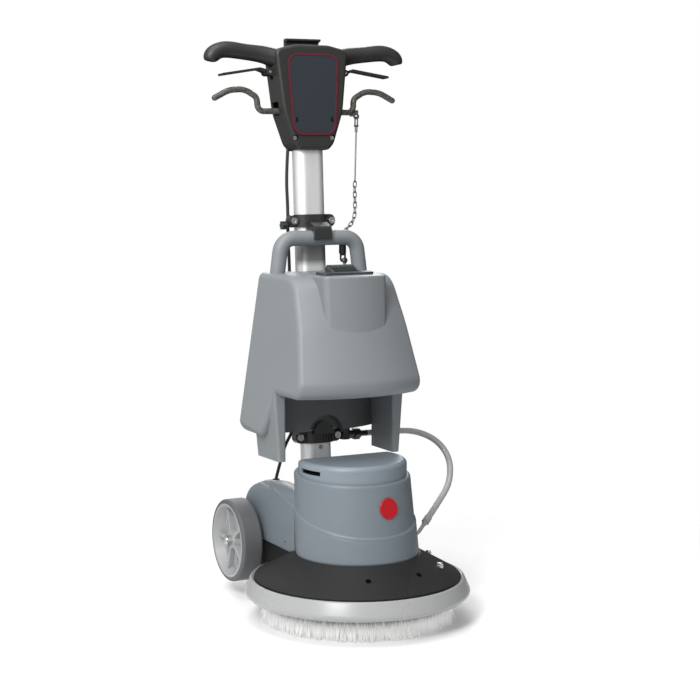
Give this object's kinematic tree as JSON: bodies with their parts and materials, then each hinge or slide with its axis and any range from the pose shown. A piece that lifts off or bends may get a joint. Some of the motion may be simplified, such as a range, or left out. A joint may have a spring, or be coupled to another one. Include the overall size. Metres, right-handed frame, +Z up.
{
  "type": "floor machine",
  "caption": "Upright floor machine: bristle disc under a cone deck with bumper, geared motor, rear wheels, tilting column, clamped solution tank with hose, and a two-grip head with levers.",
  "frame": {"origin": "brush axis on the floor, at the centre of the bristle face", "axes": "+Z up along the brush axis, +Y towards the operator and the wheels, +X to the right seen from the front"},
  "size_m": [0.5199, 0.583, 1.1541],
  "materials": {
    "tank_plastic": "moulded, fine grain",
    "housing_plastic": "moulded, satin",
    "lid_plastic": "dark grey, moulded",
    "badge_red": "glossy",
    "head_plastic": "charcoal, fine grain",
    "panel": "slate, smooth",
    "border_red": "satin",
    "black_plastic": "moulded",
    "deck_paint": "black, satin",
    "bumper_grey": "light grey, smooth",
    "tube_aluminium": "brushed along its length",
    "cast_aluminium": "cast",
    "zinc_steel": "zinc plated",
    "lever_steel": "black, satin",
    "gear_steel": "machined, oiled",
    "hub_casting": "cast",
    "brush_block_plastic": "off-white, moulded",
    "bristles": "nylon bristles",
    "tyre_rubber": "grey rubber",
    "rim_plastic": "light grey, moulded",
    "cable_rubber": "matt black",
    "hose_pvc": "grey, satin"
  },
  "bodies": {
    "base": {"deck_plate": "deck_paint", "bumper_ring": "bumper_grey", "deck_bolts": "zinc_steel", "feed_pipe": "hose_pvc", "motor_housing": "housing_plastic", "housing_lid": "housing_plastic", "housing_badge": "badge_red", "cable_grommet": "cable_rubber", "gearbox_case": "cast_aluminium", "bearings": "gear_steel", "motor_frame": "cast_aluminium", "motor_end_bell": "cast_aluminium", "stator": "gear_steel", "motor_electrics": "black_plastic", "axle": "zinc_steel", "hinge_bracket": "deck_paint"},
    "brush": {"bristle_ring": "bristles", "brush_block": "brush_block_plastic", "drive_hub": "hub_casting", "planet_carrier": "gear_steel"},
    "rotor": {"rotor": "gear_steel"},
    "planet_1": {"planet_gear_1": "gear_steel"},
    "planet_2": {"planet_gear_2": "gear_steel"},
    "planet_3": {"planet_gear_3": "gear_steel"},
    "wheel_left": {"tyre_left": "tyre_rubber", "rim_left": "rim_plastic"},
    "wheel_right": {"tyre_right": "tyre_rubber", "rim_right": "rim_plastic"},
    "column": {"handle_tube": "tube_aluminium", "column_foot": "cast_aluminium", "column_fasteners": "zinc_steel", "lower_clamp_front": "black_plastic", "lower_clamp_rear": "black_plastic", "motor_cable": "cable_rubber", "cable_tail": "cable_rubber", "head_front_shell": "head_plastic", "head_rear_shell": "head_plastic", "control_panel": "panel", "panel_border": "border_red", "mains_gland": "black_plastic", "microswitches": "black_plastic", "lever_pins": "zinc_steel", "tank": "tank_plastic", "lid_hinge_block": "lid_plastic", "outlet_valve": "black_plastic", "solution_hose": "hose_pvc"},
    "lock_rod": {"lock_rod": "zinc_steel"},
    "tilt_lever": {"tilt_lever": "lever_steel"},
    "dose_lever": {"dose_lever": "lever_steel"},
    "dosing_pull": {"valve_rod": "zinc_steel", "pull_wire": "zinc_steel", "pull_chain": "zinc_steel", "snap_clip": "black_plastic"},
    "filler_lid": {"filler_lid": "lid_plastic"},
    "upper_clamp": {"upper_clamp_front": "black_plastic", "upper_clamp_rear": "black_plastic", "upper_clamp_bolts": "zinc_steel"},
    "clamp_knob": {"clamp_knob": "black_plastic"},
    "switch_lever_left": {"switch_lever_left": "lever_steel"},
    "switch_lever_right": {"switch_lever_right": "lever_steel"}
  },
  "joints": [
    {"name": "brush_spin", "type": "hinge", "parent": "base", "child": "brush", "pos_m": [0, 0, 0.06], "axis": [0, 0, 1], "continuous": true},
    {"name": "rotor_spin", "type": "hinge", "parent": "base", "child": "rotor", "pos_m": [0, 0, 0.2], "axis": [0, 0, 1], "continuous": true},
    {"name": "planet_1_spin", "type": "hinge", "parent": "brush", "child": "planet_1", "pos_m": [0.03375, 0, 0.151], "axis": [0, 0, 1], "continuous": true},
    {"name": "planet_2_spin", "type": "hinge", "parent": "brush", "child": "planet_2", "pos_m": [-0.01688, 0.02923, 0.151], "axis": [0, 0, 1], "continuous": true},
    {"name": "planet_3_spin", "type": "hinge", "parent": "brush", "child": "planet_3", "pos_m": [-0.01688, -0.02923, 0.151], "axis": [0, 0, 1], "continuous": true},
    {"name": "wheel_left_roll", "type": "hinge", "parent": "base", "child": "wheel_left", "pos_m": [-0.1435, 0.272, 0.117], "axis": [1, 0, 0], "continuous": true},
    {"name": "wheel_right_roll", "type": "hinge", "parent": "base", "child": "wheel_right", "pos_m": [0.1435, 0.272, 0.117], "axis": [1, 0, 0], "continuous": true},
    {"name": "handle_tilt", "type": "hinge", "parent": "base", "child": "column", "pos_m": [0, 0.18, 0.15], "axis": [-1, 0, 0], "range_deg": [0, 50], "deforming": ["solution_hose", "cable_tail"]},
    {"name": "tilt_lever_pull", "type": "hinge", "parent": "column", "child": "tilt_lever", "pos_m": [0, 0.223, 1.00695], "axis": [0, 0.9983, -0.0583], "range_deg": [0, 6.5], "stiffness_Nm_per_rad": 3, "springref_deg": -8.59},
    {"name": "lock_rod_lift", "type": "slide", "parent": "column", "child": "lock_rod", "axis": [0, 0.0583, 0.9983], "range_m": [0, 0.0026]},
    {"name": "dose_lever_pull", "type": "hinge", "parent": "column", "child": "dose_lever", "pos_m": [0, 0.23698, 1.00614], "axis": [0, -0.9983, 0.0583], "range_deg": [0, 6.5], "stiffness_Nm_per_rad": 3, "springref_deg": -8.59},
    {"name": "dosing_pull_lift", "type": "slide", "parent": "column", "child": "dosing_pull", "axis": [0, 0, 1], "range_m": [0, 0.0136]},
    {"name": "switch_lever_left_pull", "type": "hinge", "parent": "column", "child": "switch_lever_left", "pos_m": [-0.085, 0.23453, 1.08441], "axis": [0, 0.9983, -0.0583], "range_deg": [0, 8], "stiffness_Nm_per_rad": 3, "springref_deg": -8.59},
    {"name": "switch_lever_right_pull", "type": "hinge", "parent": "column", "child": "switch_lever_right", "pos_m": [0.085, 0.23453, 1.08441], "axis": [0, -0.9983, 0.0583], "range_deg": [0, 8], "stiffness_Nm_per_rad": 3, "springref_deg": -8.59},
    {"name": "filler_lid_open", "type": "hinge", "parent": "column", "child": "filler_lid", "pos_m": [0, 0.074, 0.692], "axis": [-1, 0, 0], "range_deg": [0, 100]},
    {"name": "upper_clamp_slide", "type": "slide", "parent": "column", "child": "upper_clamp", "axis": [0, 0.0583, 0.9983], "range_m": [0, 0.04]},
    {"name": "clamp_knob_turn", "type": "hinge", "parent": "upper_clamp", "child": "clamp_knob", "pos_m": [-0.057, 0.21547, 0.77499], "axis": [1, 0, 0], "continuous": true}
  ],
  "couplings": [
    {"joint": "rotor_spin", "follows": "brush_spin", "ratio": 9},
    {"joint": "planet_1_spin", "follows": "brush_spin", "ratio": -2.2857},
    {"joint": "planet_2_spin", "follows": "brush_spin", "ratio": -2.2857},
    {"joint": "planet_3_spin", "follows": "brush_spin", "ratio": -2.2857},
    {"joint": "lock_rod_lift", "follows": "tilt_lever_pull", "m_per_rad": 0.022},
    {"joint": "dosing_pull_lift", "follows": "dose_lever_pull", "m_per_rad": 0.119}
  ]
}
